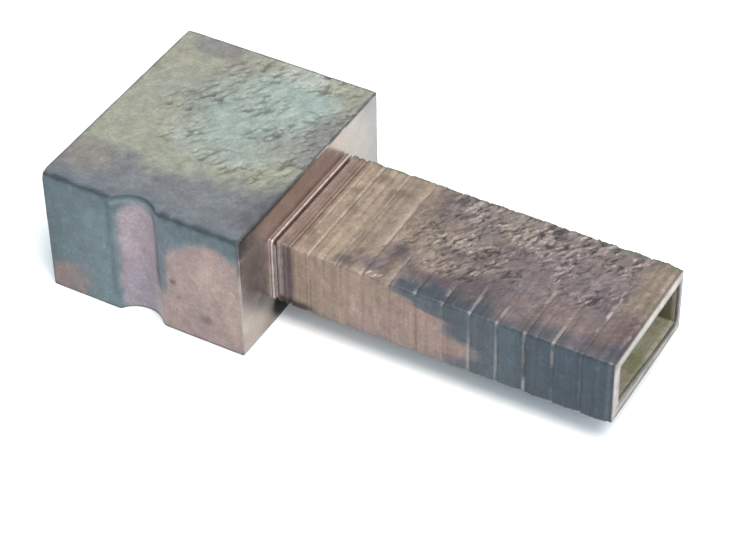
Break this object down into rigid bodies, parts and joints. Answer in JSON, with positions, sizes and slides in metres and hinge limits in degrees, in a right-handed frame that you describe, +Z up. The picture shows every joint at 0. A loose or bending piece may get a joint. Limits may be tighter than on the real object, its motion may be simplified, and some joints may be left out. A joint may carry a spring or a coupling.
{
  "type": "soldering tip cleaning block",
  "caption": "Heat-stained metal block with a half-round wiping groove in its front and a hollow rectangular sleeve of stepped brass collars for cleaning a soldering tip.",
  "frame": {"origin": "centre of the block's underside, the face that the object stands on", "axes": "+Z up out of the table, +X along the sleeve from the block to its open mouth, -Y out of the grooved front face"},
  "size_m": [0.0657, 0.0298, 0.0161],
  "materials": {
    "stained_block": "heat-stained and pitted, teal-green to tan, with one bright machined side",
    "liner_brass": "dull olive brass, as drawn",
    "braze": "pale braze metal",
    "bright_plate": "pale pinkish brass with a bright edge",
    "dark_plate": "dark brown oxide",
    "shim_brass": "pinkish brown, finely lined",
    "collar_brass": "heat-stained beige, purple-brown and slate, rough on top with fine crosswise lines",
    "mouth_brass": "pale, freshly faced end"
  },
  "bodies": {
    "root": {"block": "stained_block", "liner_tube": "liner_brass", "braze_layer": "braze", "root_plate": "bright_plate", "root_spacer": "dark_plate", "shim_1": "shim_brass", "shim_2": "shim_brass", "shim_3": "shim_brass", "shim_4": "shim_brass", "short_collar": "collar_brass", "collar_01": "collar_brass", "collar_02": "collar_brass", "collar_03": "collar_brass", "collar_04": "collar_brass", "collar_05": "collar_brass", "collar_06": "collar_brass", "collar_07": "collar_brass", "collar_08": "collar_brass", "collar_09": "collar_brass", "collar_10": "collar_brass", "collar_11": "collar_brass", "mouth_frame": "mouth_brass"}
  },
  "joints": []
}
